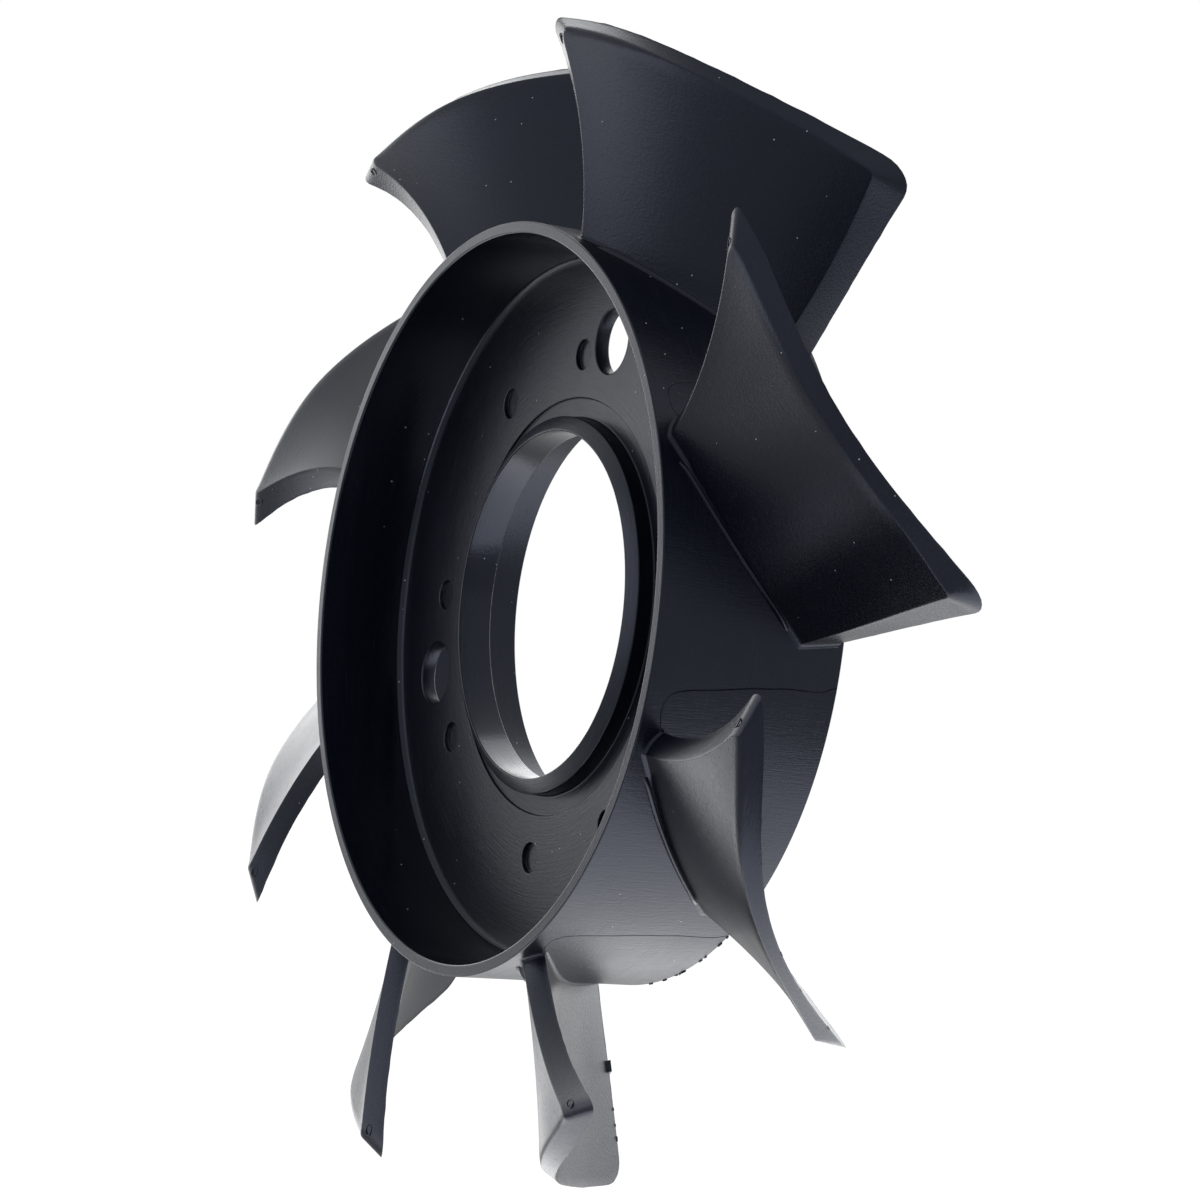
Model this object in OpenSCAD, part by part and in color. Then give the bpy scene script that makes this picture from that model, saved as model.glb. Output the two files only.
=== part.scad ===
// Engine cooling fan wheel, moulded in one piece: a deep drum with a web across it, and eight swept blades.
// The fan turns about the Y axis. The drum's open front faces -Y, and the origin is on the axis in the
// plane of the web's front face. Angles run from +Z towards +X.

/* [Drum] */
// Outer diameter of the drum that carries the blades
drum_d = 184; // [170:1:210]
// Length of the drum from its front rim to its rear rim
drum_l = 48.8; // [48.4:0.2:60]
// Thickness of the drum wall at its two rims
rim_wall = 2.9; // [2.4:0.1:4]
// How much thicker the drum wall is at the web than at its rims
wall_draft = 2; // [0.5:0.1:3]

/* [Web] */
// Depth of the web's front face behind the front rim
web_depth = 23.1; // [18:0.1:28]
// Thickness of the web
web_t = 4; // [3:0.1:6]
// Radius of the rounding where the web runs into the drum wall
web_fillet = 2; // [1:0.1:3]

/* [Centre bore] */
// Diameter of the centre bore
bore_d = 86; // [76:0.5:90]
// Thickness of the collar round the bore
collar_wall = 3.8; // [2.5:0.1:5]
// Height of the collar's inner edge in front of the web
collar_h = 5.3; // [3:0.1:8]
// Fall of the collar's front face from its inner to its outer edge
collar_fall = 2; // [0.5:0.1:2.8]
// Width of the shallow recess round the collar
recess_w = 5; // [3:0.1:7]
// Depth of that recess
recess_depth = 0.8; // [0.4:0.1:1.5]
// Width of the step from the bore to the rear ring
rear_step = 5.5; // [3:0.1:6]
// Wall thickness of the rear ring
rear_ring_wall = 3.5; // [2.5:0.1:5]
// Length of the rear ring behind the web
rear_ring_l = 10.2; // [5:0.1:16]

/* [Fixing holes] */
// Number of fixing holes
hole_count = 3; // [3:1:4]
// Diameter of each fixing hole
hole_d = 16; // [10:0.5:18]
// Diameter of the circle that the fixing holes lie on
hole_circle_d = 134; // [130:0.5:146]
// Angle of the first fixing hole
hole_angle = 11.5; // [0:0.5:120]

/* [Ejector pin marks] */
// Diameter of each round mark that an ejector pin left in the web
pin_d = 7.5; // [4:0.5:9]
// Depth of the marks
pin_depth = 1.2; // [0.3:0.1:1.5]
// Diameter of the circle that the marks lie on
pin_circle_d = 125; // [120:0.5:140]
// Number of pairs of marks
pin_pairs = 4; // [2:1:4]
// Angle of the first mark
pin_angle = -0.4; // [-10:0.1:10]
// Angle between the two marks of a pair
pin_pair_angle = 36; // [30:1:40]

/* [Blades] */
// Number of blades
blade_count = 8; // [5:1:8]
// Diameter over the blade tips
tip_d = 282; // [260:1:320]
// Angle of the front edge at the drum
front_root_a = 19; // [14:0.5:22]
// Angle of the front edge half way out
front_mid_a = 14.3; // [10:0.1:18]
// Angle of the front edge at the tip
front_tip_a = 7.7; // [4:0.1:14]
// Angle of the front side's rear edge at the drum
rear_root_a = 46.5; // [42:0.5:50]
// The same angle half way out
rear_mid_a = 42.2; // [38:0.1:48]
// The same angle at the tip
rear_tip_a = 40.2; // [36:0.1:46]
// Distance of the front edge behind the front rim, at the drum
front_root_y = 3.2; // [2.5:0.1:8]
// The same distance half way out
front_mid_y = 0.2; // [-3:0.1:6]
// The same distance at the tip, where the edge stands in front of the rim
front_tip_y = -4.7; // [-8:0.1:4]
// Distance of the front side's rear edge behind the front rim, at the drum
rear_root_y = 37; // [32:0.1:39]
// The same distance half way out
rear_mid_y = 43.2; // [36:0.1:48]
// The same distance at the tip
rear_tip_y = 44; // [36:0.1:50]
// Angle of the back's rear edge at the drum
back_root_a = 45.7; // [44:0.1:48]
// The same angle half way out
back_mid_a = 42.7; // [41:0.1:45]
// The same angle at the tip
back_tip_a = 41; // [39:0.1:43]
// Distance of the back's rear edge behind the front rim, at the drum
back_root_y = 47.1; // [46:0.1:47.4]
// The same distance at the tip, where the edge stands behind the drum
back_tip_y = 54.1; // [52:0.1:56]
// Bulge of a blade's section towards the front, at the drum
camber_root = 2.5; // [0:0.1:6]
// Bulge of the front side at the tip
camber_tip = 11; // [8:0.1:12]
// Bulge of the back at the tip
back_camber_tip = 15; // [13:0.1:15.6]
// Angle across the narrow front edge, from the front side to the back, at the drum
nose_root_a = 3.3; // [2:0.1:4]
// The same angle half way out
nose_mid_a = 2.8; // [2:0.1:3.4]
// The same angle at the tip
nose_tip_a = 3.3; // [2.4:0.1:4]
// Distance along the axis across the front edge, at the drum
nose_root_y = 3.1; // [2:0.1:4]
// The same distance at the tip
nose_tip_y = 2.6; // [1.6:0.1:4]
// Radius of the outer corner at the rear edge
rear_corner_r = 6; // [4:0.5:8]
// Radius of the outer corner at the front edge
front_corner_r = 4.5; // [2:0.5:6]
// Radius of the rounding between a blade's front side and its tip
tip_round = 3; // [1.5:0.1:4]
// How much lower the tip's front is than its back
tip_slope = 2.1; // [0.8:0.1:2.6]
// Radius of the fillet where a blade leaves the drum
root_fillet = 1; // [0.6:0.1:1.2]

/* [Root ribs] */
// Width of the thin rib on the drum in front of each blade
rib_w = 1.2; // [1:0.1:1.6]
// Height of the rib above the drum
rib_h = 0.9; // [0.6:0.1:1.2]
// Distance along the axis from the rib's front end to the blade's front side
rib_gap = 1.5; // [1.2:0.1:3.4]
// The same distance at the rib's rear end
rib_rear_gap = 0.7; // [0.5:0.1:2.4]

/* [Hidden] */
$fn = 96;
plastic = "#2a2c33";
drum_r = drum_d / 2;
tip_r = tip_d / 2;
bore_r = bore_d / 2;
rim_y = -web_depth;
rear_y = drum_l - web_depth;
collar_r = bore_r + collar_wall;
recess_r = collar_r + recess_w;
ring_in_r = bore_r + rear_step;
ring_out_r = ring_in_r + rear_ring_wall;
wall_r = drum_r - rim_wall;
corner_r = wall_r - wall_draft;
cut = 1;

// Steps of a blade's mesh: along its front side, across its front edge, along the span
// and over the tip's rounding
chord_steps = 13;
nose_steps = 3;
span_steps = 7;
round_steps = 3;
side_points = chord_steps + nose_steps + 1;

// Heights of the rings inside the fillet at the drum, as fractions of its radius
fillet_rings = [0.15, 0.5];

// How far the front edge bulges, and how far the tip's rounding reaches,
// as fractions of the blade's thickness there
nose_reach = 0.18;
round_share = 0.55;

// How peaked the bulges are, and how far the back's leans to the rear
peak = 0.35;
back_lean = 0.7;

// How far the front side's outer corners lie in from the blade's rounded outline,
// at the front and at the rear
front_inset = 1.2;
rear_inset = 3.5;

// Step along the chord over which the section's direction is taken
chord_h = 0.01;

// Depth to which blades and ribs are sunk into the drum
sink = rim_wall * 0.45;

// Steps of a root rib, its two ends along the blade's chord, and the narrowing of its top
rib_steps = 8;
rib_start = 0.13;
rib_end = 0.93;
rib_foot = 0.7;
rib_top = 0.35;

// Value at span fraction v of a smooth line through its values at the drum, half way and at the tip
function through(a, b, c, v) = a + v * (4 * b - 3 * a - c) + v * v * (2 * a - 4 * b + 2 * c);

// Value between a and b
function mix(a, b, v) = a + v * (b - a);

// Fraction of the chord at step i of n, closer together at the edges
function chord(i, n) = (1 - cos(180 * i / n)) / 2;

// Fraction of the span at radius r
function span(r) = (r - drum_r) / (tip_r - drum_r);

// Bulge of a section at chord fraction t, 1 near mid chord, leaning to the rear by lean
function bulge(t, lean) =
    let (s = 4 * t * (1 - t))
    s * (1 - peak + peak * s) * (1 + lean * (t - 0.5));

// The edge lines of a blade at span fraction v, as angle and distance behind the front rim
function front_a(v) = through(front_root_a, front_mid_a, front_tip_a, v);
function rear_a(v) = through(rear_root_a, rear_mid_a, rear_tip_a, v);
function front_y(v) = through(front_root_y, front_mid_y, front_tip_y, v);
function rear_y_at(v) = through(rear_root_y, rear_mid_y, rear_tip_y, v);
function back_a(v) = through(back_root_a, back_mid_a, back_tip_a, v);
function back_y(v) = mix(back_root_y, back_tip_y, v);
function nose_a(v) = through(nose_root_a, nose_mid_a, nose_tip_a, v);
function nose_y(v) = mix(nose_root_y, nose_tip_y, v);

// Angle and axial place of the front side, and of the back, at chord fraction t and span fraction v
function front_side(t, v) =
    [mix(front_a(v), rear_a(v), t),
     mix(front_y(v), rear_y_at(v), t) - mix(camber_root, camber_tip, v) * bulge(t, 0)];
function back_side(t, v) =
    [mix(front_a(v) - nose_a(v), back_a(v), t),
     mix(front_y(v) + nose_y(v), back_y(v), t)
         - mix(camber_root, back_camber_tip, v) * bulge(t, back_lean)];

// Length that one degree takes at radius r
function arc_mm(r) = r * PI / 180;

// Direction of the front side at chord fraction t, as a unit vector along the arc and along the axis
function tangent(t, r, v) =
    let (p = front_side(t - chord_h, v),
         q = front_side(t + chord_h, v),
         d = [arc_mm(r) * (q[0] - p[0]), q[1] - p[1]])
    d / norm(d);

// Place on the front edge, from the front side (0) to the back (1)
function nose(s, r, v) =
    let (p = front_side(0, v),
         q = back_side(0, v),
         d = tangent(0, r, v),
         reach = nose_reach * norm([arc_mm(r) * (p[0] - q[0]), p[1] - q[1]]),
         c = p - reach * [d[0] / arc_mm(r), d[1]])
    pow(1 - s, 2) * p + 2 * s * (1 - s) * c + s * s * q;

// Distance by which the section is wider at radius r, for the fillet at the drum
function widen(r) =
    r >= drum_r + root_fillet ? 0 :
    r <= drum_r ? root_fillet + drum_r - r :
    root_fillet - sqrt(pow(root_fillet, 2) - pow(drum_r + root_fillet - r, 2));

// Drop of a rounded corner of radius r at distance d from the edge
function corner_drop(d, r) = d >= r ? 0 : r - sqrt(r * r - pow(r - max(d, 0), 2));

// Radius at which a blade ends, at these distances from its front edge and its rear edge
function end_r(from_front, from_rear) =
    tip_r - corner_drop(from_front, front_corner_r) - corner_drop(from_rear, rear_corner_r);

chord_mm = norm([arc_mm(tip_r) * (rear_tip_a - front_tip_a), rear_tip_y - front_tip_y]);
nose_mm = norm([arc_mm(tip_r) * nose_tip_a, nose_tip_y]);
nose_share = nose_mm / (nose_mm + chord_mm);

// Radii of a blade's stations when it ends at radius e: the sunk start, the fillet,
// even steps and then the tip's rounding
function stations(e) = concat(
    [drum_r - sink],
    [for (f = fillet_rings) drum_r + f * root_fillet],
    [for (i = [0 : span_steps]) mix(drum_r + root_fillet, e - tip_round, i / span_steps)],
    [for (i = [1 : round_steps]) e - tip_round * (1 - sin(90 * i / round_steps))]);
ring_count = len(stations(tip_r));

// Share of the way to the back that ring k lies over the tip's rounding
function round_at(k) =
    let (i = k - (ring_count - 1 - round_steps))
    i <= 0 ? 0 : round_share * (1 - cos(90 * i / round_steps));

// Point at radius r, angle a and axial place y
function at(r, a, y) = [r * sin(a), y + rim_y, r * cos(a)];

// Point at radius r and place p, moved by distance w along direction d
function moved(r, p, d, w) = at(r, p[0] + w * d[0] / arc_mm(r), p[1] + w * d[1]);

// Point i on ring k of the front side, counted from the front edge's rounding
function front_point(i, k) =
    let (s = max(0, (nose_steps - i) / (nose_steps + 1)),
         t = chord(max(0, i - nose_steps), chord_steps),
         e = end_r((1 - s) * front_inset + t * chord_mm, (1 - t) * chord_mm + rear_inset) - tip_slope,
         r = stations(e)[k],
         v = span(r),
         d = tangent(t, r, v),
         p = s > 0 ? nose(s, r, v) : front_side(t, v),
         out = [d[1], -d[0]],
         turned = mix(out, -d, s),
         side = i == side_points - 1 ? out + d : turned / norm(turned))
    moved(r, mix(p, back_side(t, v), round_at(k)), side, widen(r));

// Point i on ring k of the back, counted from the rear edge, each one behind its fellow on the front side
function back_point(i, k) =
    let (j = side_points - 1 - i,
         t = j < nose_steps ? nose_share * j / nose_steps
                            : mix(nose_share, 1, chord(j - nose_steps, chord_steps)),
         r = stations(end_r(t * chord_mm, (1 - t) * chord_mm))[k],
         v = span(r),
         d = tangent(t, r, v),
         ends = j == 0 ? -1 : i == 0 ? 1 : 0)
    moved(r, back_side(t, v), [-d[1], d[0]] + ends * d, widen(r));

// One blade, skinned over its rings, with its two sides joined by a ladder at the drum and at the tip
module blade() {
    n = side_points;
    m = 2 * n;
    points = [for (k = [0 : ring_count - 1]) each concat(
        [for (i = [0 : n - 1]) front_point(i, k)],
        [for (i = [0 : n - 1]) back_point(i, k)])];
    skin = [for (k = [0 : ring_count - 2]) for (i = [0 : m - 1])
        let (a = k * m + i, b = k * m + (i + 1) % m)
        each [[a, b + m, b], [a, a + m, b + m]]];
    top = (ring_count - 1) * m;
    root_end = [for (i = [0 : n - 2]) each [[i, i + 1, m - 2 - i], [i, m - 2 - i, m - 1 - i]]];
    tip_end = [for (i = [0 : n - 2]) each
        [[top + i, top + m - 2 - i, top + i + 1], [top + i, top + m - 1 - i, top + m - 2 - i]]];
    polyhedron(points, concat(skin, root_end, tip_end));
}

// The thin rib that follows a blade's root along the drum, a little in front of it
module root_rib() {
    corners = [[-sink, -rib_foot], [-sink, rib_foot], [rib_h, rib_top], [rib_h, -rib_top]];
    points = [for (k = [0 : rib_steps])
        let (t = mix(rib_start, rib_end, k / rib_steps),
             p = front_side(t, 0) - [0, mix(rib_gap, rib_rear_gap, k / rib_steps)],
             d = tangent(t, drum_r, 0))
        for (c = corners) moved(drum_r + c[0], p, [-d[1], d[0]], c[1] * rib_w)];
    sides = [for (k = [0 : rib_steps - 1]) for (i = [0 : 3])
        let (a = 4 * k + i, b = 4 * k + (i + 1) % 4)
        each [[a, b + 4, b], [a, a + 4, b + 4]]];
    last = 4 * rib_steps;
    ends = [[for (i = [0 : 3]) i], [for (i = [3 : -1 : 0]) last + i]];
    polyhedron(points, concat(sides, ends));
}

// Half section of the drum, web, collar and rear ring, as radius and axial place
module hub_section() {
    polygon([
        [wall_r, rim_y],
        [drum_r, rim_y],
        [drum_r, rear_y],
        [wall_r, rear_y],
        [corner_r, web_t + web_fillet],
        [corner_r - web_fillet, web_t],
        [ring_out_r, web_t],
        [ring_out_r, web_t + rear_ring_l],
        [ring_in_r, web_t + rear_ring_l],
        [ring_in_r, web_t],
        [bore_r, web_t],
        [bore_r, -collar_h],
        [collar_r, -collar_h + collar_fall],
        [collar_r, recess_depth],
        [recess_r, recess_depth],
        [recess_r, 0],
        [corner_r - web_fillet, 0],
        [corner_r, -web_fillet]
    ]);
}

// A straight round cut through or into the web, on a circle about the axis
module web_cut(circle_d, angle, d, from, to) {
    translate([circle_d / 2 * sin(angle), from, circle_d / 2 * cos(angle)])
        rotate([-90, 0, 0])
            cylinder(d = d, h = to - from);
}

module hub() {
    difference() {
        rotate([-90, 0, 0])
            rotate_extrude()
                hub_section();
        for (k = [0 : hole_count - 1])
            web_cut(hole_circle_d, hole_angle + k * 360 / hole_count, hole_d, -cut, web_t + cut);
        for (k = [0 : pin_pairs - 1])
            for (side = [0, 1])
                web_cut(pin_circle_d, pin_angle - side * pin_pair_angle + k * 360 / pin_pairs,
                        pin_d, -cut, pin_depth);
    }
}

module fan_wheel() {
    color(plastic)
        union() {
            hub();
            for (k = [0 : blade_count - 1])
                rotate([0, k * 360 / blade_count, 0]) {
                    blade();
                    root_rib();
                }
        }
}

fan_wheel();
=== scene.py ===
"""Looks of the moulded fan wheel: the wheel as one finished mesh, its plastic, the studio and the camera."""

import math

import bmesh
import bpy
import numpy as np
from mathutils import Matrix, Vector
from mathutils.geometry import delaunay_2d_cdt


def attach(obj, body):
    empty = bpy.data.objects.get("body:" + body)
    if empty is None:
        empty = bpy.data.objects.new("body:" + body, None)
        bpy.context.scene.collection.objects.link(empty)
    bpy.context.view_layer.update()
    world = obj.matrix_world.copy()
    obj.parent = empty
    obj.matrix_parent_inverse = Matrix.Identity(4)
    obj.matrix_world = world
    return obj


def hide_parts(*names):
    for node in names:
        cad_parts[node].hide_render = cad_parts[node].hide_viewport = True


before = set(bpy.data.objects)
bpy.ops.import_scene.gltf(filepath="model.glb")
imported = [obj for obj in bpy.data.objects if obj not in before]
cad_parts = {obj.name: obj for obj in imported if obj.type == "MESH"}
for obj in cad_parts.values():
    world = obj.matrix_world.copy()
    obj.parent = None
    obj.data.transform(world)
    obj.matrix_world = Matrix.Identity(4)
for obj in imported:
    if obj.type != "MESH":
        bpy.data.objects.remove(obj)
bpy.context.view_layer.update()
MM = 0.001

# Sizes of the wheel in millimetres and degrees, the same as in the CAD source. Angles run from +Z towards
# +X. In the hub, places along the axis are counted from the web's front face.
DRUM_R = 92.0
WALL_R = DRUM_R - 2.9
CORNER_R = WALL_R - 2.0
RIM_Y = -23.1
REAR_Y = 25.7
WEB_T = 4.0
WEB_FILLET = 2.0
BORE_R = 43.0
COLLAR_R = BORE_R + 3.8
COLLAR_H = 5.3
COLLAR_FALL = 2.0
RECESS_R = COLLAR_R + 5.0
RECESS_DEPTH = 0.8
RING_IN_R = BORE_R + 5.5
RING_OUT_R = RING_IN_R + 3.5
RING_L = 10.2

# Fixing holes and ejector pin marks, each a radius from the axis, an angle and its own radius
HOLES = [(67.0, 11.5 + 120 * k, 8.0) for k in range(3)]
PIN_MARKS = [(62.5, -0.4 - 36 * side + 90 * k, 3.75) for k in range(4) for side in (0, 1)]
PIN_DEPTH = 1.2

# A blade's front side and back. Angles and places behind the front rim are given at the drum, half way out
# and at the tip, or at the drum and the tip. The nose is how far the back's front edge lies from the front
# side's. The cambers are how far both sides bow, PEAK gathers the bow at its middle, and LEAN moves the
# back's towards the rear edge. The root starts SINK inside the drum.
BLADES = 8
TIP_R = 141.0
FRONT_A = (19.0, 14.3, 7.7)
FRONT_Y = (3.2, 0.2, -4.7)
REAR_A = (46.5, 42.2, 40.2)
REAR_EDGE_Y = (37.0, 43.2, 44.0)
NOSE_A = (3.3, 2.8, 3.3)
NOSE_Y = (3.1, 2.6)
BACK_A = (45.7, 42.7, 41.0)
BACK_Y = (47.1, 54.1)
CAMBER = (2.5, 11.0)
BACK_CAMBER = (2.5, 15.0)
PEAK = 0.35
LEAN = 0.7
ROOT_FILLET = 1.0
SINK = 1.3

# Outer corners of the front side and of the back, as radii at the front and at the rear edge, and the radius
# at which the front side folds over into the tip's band
FRONT_CORNERS = (4.2, 1.3)
BACK_CORNERS = (4.5, 6.0)
FOLD_R = 138.4

# The front side turns over towards the strip round its edge. The turn is EDGE_TURN wide, and TIP_TURN along
# the tip's band. It widens over TIP_TURN_IN, counted from the front edge, narrows over TIP_TURN_OUT, counted
# from the rear edge, and swells by a share of its width.
EDGE_TURN, TIP_TURN = 0.55, 3.0
TIP_TURN_IN = (0, 4)
TIP_TURN_OUT = (14, 1)
EDGE_SWELL, TIP_SWELL = 0.06, 0.17

# The fold behind that turn is sharp, and soft along the front part of the tip. It takes up no more than
# FOLD_SHARE of the turn's width.
SHARP_FOLD, SOFT_FOLD = 0.3, 1.9
SOFT_IN = (1, 6)
SOFT_OUT = (22, 46)
FRONT_EDGE_FOLD = 0.6
FOLD_SHARE = 0.75

# The narrow front edge is crowned, and the crown dies out before the tip over CROWN_OUT of the span. The
# parting line at the back's outline carries a thin fin, which is up to FLASH higher where it is ragged.
EDGE_CROWN = 0.45
CROWN_OUT = (0.86, 0.95)
FIN_ROOT = 0.16
FIN_HEIGHT = 0.1
FLASH = 0.25

# How finely a blade's mesh is divided: round its front corner, along the chord, round its rear corner and
# along the span. The fillet's rings are shares of its radius.
LEAD_STEPS, CHORD_STEPS, TAIL_STEPS, SPAN_STEPS = 8, 42, 7, 20
FILLET_RINGS = (0.06, 0.2, 0.45, 0.75)
TURN_STEPS = (1 / 3, 2 / 3, 1)
FOLD_STEPS = (0.25, 0.5, 0.75, 1)
BAND_STEPS = (0.15, 0.3, 0.5, 0.7, 0.85, 1)

# Points closer than this, in metres, are one, and so are the corners of a face thinner than the second
MERGE_M = 1e-6
THIN_M = 1e-7


def mix(a, b, v):
    return a + v * (b - a)


def unit(vectors):
    return vectors / np.maximum(np.linalg.norm(vectors, axis=-1, keepdims=True), 1e-9)


def ramp(x, a, b):
    """Smooth step from 0 at a to 1 at b."""
    s = np.clip((x - a) / (b - a), 0, 1)
    return s * s * (3 - 2 * s)


def through(values, v):
    """Smooth line through the values at the drum, half way out and at the tip."""
    a, b, c = values
    return a + v * (4 * b - 3 * a - c) + v * v * (2 * a - 4 * b + 2 * c)


def bulge(t, lean):
    """Camber at chord fraction t, as a share of its depth. Lean moves its peak towards the rear edge."""
    s = 4 * t * (1 - t)
    return s * (1 - PEAK + PEAK * s) * (1 + lean * (t - 0.5))


def front_side(t, v):
    """Angle and axial place of a blade's front side at chord fraction t and span fraction v."""
    a = mix(through(FRONT_A, v), through(REAR_A, v), t)
    y = mix(through(FRONT_Y, v), through(REAR_EDGE_Y, v), t)
    return a, y - mix(*CAMBER, v) * bulge(t, 0)


def back_side(t, v):
    """The same for its back."""
    a = mix(through(FRONT_A, v) - through(NOSE_A, v), through(BACK_A, v), t)
    y = mix(through(FRONT_Y, v) + mix(*NOSE_Y, v), mix(*BACK_Y, v), t)
    return a, y - mix(*BACK_CAMBER, v) * bulge(t, LEAN)


def arc_mm(r):
    """Length of one degree at radius r."""
    return r * math.pi / 180


def span(r):
    """Span fraction of radius r."""
    return (r - DRUM_R) / (TIP_R - DRUM_R)


def at(r, a, y):
    """Points in millimetres at radius r, angle a in degrees and distance y behind the front rim."""
    a = np.radians(a)
    return np.stack(np.broadcast_arrays(r * np.sin(a), y + RIM_Y, r * np.cos(a)), -1)


CHORD_MM = math.hypot(arc_mm(TIP_R) * (REAR_A[2] - FRONT_A[2]), REAR_EDGE_Y[2] - FRONT_Y[2])


def outline(corners, inset):
    """Place along the chord and drop below the tip of each column's outer end, inset from the rounded
    outline."""
    lead = np.pi / 2 * np.arange(LEAD_STEPS) / LEAD_STEPS
    tail = np.pi / 2 * np.arange(1, TAIL_STEPS + 1) / TAIL_STEPS
    flat = np.linspace(corners[0], CHORD_MM - corners[1], CHORD_STEPS + 1)
    centre = np.concatenate([0 * lead + flat[0], flat, 0 * tail + flat[-1]])
    radius = np.concatenate([0 * lead + corners[0], 0 * flat + corners[1], 0 * tail + corners[1]])
    across = np.concatenate([-np.cos(lead), 0 * flat, np.sin(tail)])
    up = np.concatenate([np.sin(lead), 0 * flat + 1, np.cos(tail)])
    return centre + across * (radius - inset), radius - up * (radius - inset)


def stations(e):
    """Radii of a blade's rings when its columns end at radii e: sunk start, root fillet and even steps."""
    rings = [np.full_like(e, DRUM_R - SINK), np.full_like(e, DRUM_R)]
    rings += [np.full_like(e, DRUM_R + f * ROOT_FILLET) for f in FILLET_RINGS]
    rings += [mix(DRUM_R + ROOT_FILLET, e, i / SPAN_STEPS) for i in range(SPAN_STEPS + 1)]
    return np.array(rings)


def blade_grids():
    """A blade's front side and back as grids of points, and the strip round its edge that joins them: the
    narrow front edge, the tip's band and the bevelled rear edge, with a fold at the front side and a parting
    line at the back. Also the ring and the column of each point along the strip."""
    c_edge, drop_edge = outline(FRONT_CORNERS, 0.0)
    rear_turn = [CHORD_MM - c for c in TIP_TURN_OUT]
    over = ramp(c_edge, *TIP_TURN_IN) * (1 - ramp(c_edge, *rear_turn))
    c, drop = outline(FRONT_CORNERS, mix(EDGE_TURN, TIP_TURN, over))
    r = stations(FOLD_R - drop)
    front = at(r, *front_side(c / CHORD_MM, span(r)))
    r_edge = FOLD_R - drop_edge
    edge_top = at(r_edge, *front_side(c_edge / CHORD_MM, span(r_edge)))
    c_back, drop_back = outline(BACK_CORNERS, 0.0)
    r_back = stations(TIP_R - drop_back)
    back = at(r_back, *back_side(c_back / CHORD_MM, span(r_back)))

    # the strip runs up the front edge, along the tip and down the rear edge
    rings, columns = r.shape
    k = np.concatenate([np.arange(rings), np.full(columns - 2, rings - 1), np.arange(rings)[::-1]])
    i = np.concatenate([np.zeros(rings, int), np.arange(1, columns - 1), np.full(rings, columns - 1)])
    edge = np.concatenate([at(r[:, 0], *front_side(0.0, span(r[:, 0]))), edge_top[1:-1],
                           at(r[:, -1], *front_side(1.0, span(r[:, -1])))[::-1]])
    start, end = front[k, i], back[k, i]
    reach = np.linalg.norm(edge - start, axis=1, keepdims=True)
    across = unit(end - edge)
    at_tip = k == rings - 1
    swell = mix(EDGE_SWELL, TIP_SWELL, over[i] * at_tip)[:, None] * reach
    soft = ramp(c_edge, *SOFT_IN) * (1 - ramp(c_edge, *SOFT_OUT))
    fold = mix(SHARP_FOLD, SOFT_FOLD, soft[i] * at_tip) + FRONT_EDGE_FOLD * (i == 0)
    fold = np.minimum(fold[:, None], reach * FOLD_SHARE)

    # the turn, then the fold, rounded between its crease and both sides
    crease = edge + swell * across
    last = 1 - fold / reach
    rows = [start + s * last * (edge - start) + (s * last) ** 2 * swell * across for s in TURN_STEPS]
    level = unit(end - crease)
    arrive = crease + fold * level
    rows += [(1 - s) ** 2 * rows[2] + 2 * s * (1 - s) * crease + s * s * arrive for s in FOLD_STEPS]

    # the level band, crowned on the front edge, then the fin on the parting line
    k_in = np.where((i > 0) & (i < columns - 1), k - 1, k)
    i_in = np.clip(i, 1, columns - 2)
    outward = unit(end - back[k_in, i_in])
    near = end - FIN_ROOT * level
    crown = EDGE_CROWN * (i == 0) * (1 - ramp(span(np.hypot(start[:, 0], start[:, 2])), *CROWN_OUT))
    proud = unit(outward - (outward * level).sum(1, keepdims=True) * level) * crown[:, None]
    rows += [mix(arrive, near, s) + 4 * s * (1 - s) * proud for s in BAND_STEPS]
    rows.append(end + FIN_HEIGHT * unit(level + outward))
    back[k, i] = end - FIN_ROOT * outward
    return front, back, rows, k, i


def mesh_object(name, points, faces, marked=()):
    """A new object of these points and faces, its doubles merged. The marked points carry 1 in "flash"."""
    mesh = bpy.data.meshes.new(name)
    mesh.from_pydata([tuple(p) for p in points], [], [tuple(int(i) for i in f) for f in faces])
    if len(marked):
        weights = np.zeros(len(points), np.float32)
        weights[marked] = 1
        mesh.attributes.new("flash", "FLOAT", "POINT").data.foreach_set("value", weights)
    bm = bmesh.new()
    bm.from_mesh(mesh)
    bmesh.ops.remove_doubles(bm, verts=bm.verts, dist=MERGE_M)
    bmesh.ops.dissolve_degenerate(bm, dist=THIN_M, edges=bm.edges)
    bmesh.ops.recalc_face_normals(bm, faces=bm.faces)
    bm.to_mesh(mesh)
    bm.free()
    obj = bpy.data.objects.new(name, mesh)
    bpy.context.scene.collection.objects.link(obj)
    return obj


def ring_faces(rings, m, closed=False):
    """Faces of a skin over rings of m points. A closed one joins the last ring to the first."""
    return [(k * m + i, k * m + (i + 1) % m, (k + 1) % rings * m + (i + 1) % m, (k + 1) % rings * m + i)
            for k in range(rings if closed else rings - 1) for i in range(m)]


def joined(parts):
    """Points and faces of several parts as one list of each."""
    points, faces = [], []
    for some_points, some_faces in parts:
        start = len(points)
        points += some_points
        faces += [tuple(start + i for i in f) for f in some_faces]
    return points, faces


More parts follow.
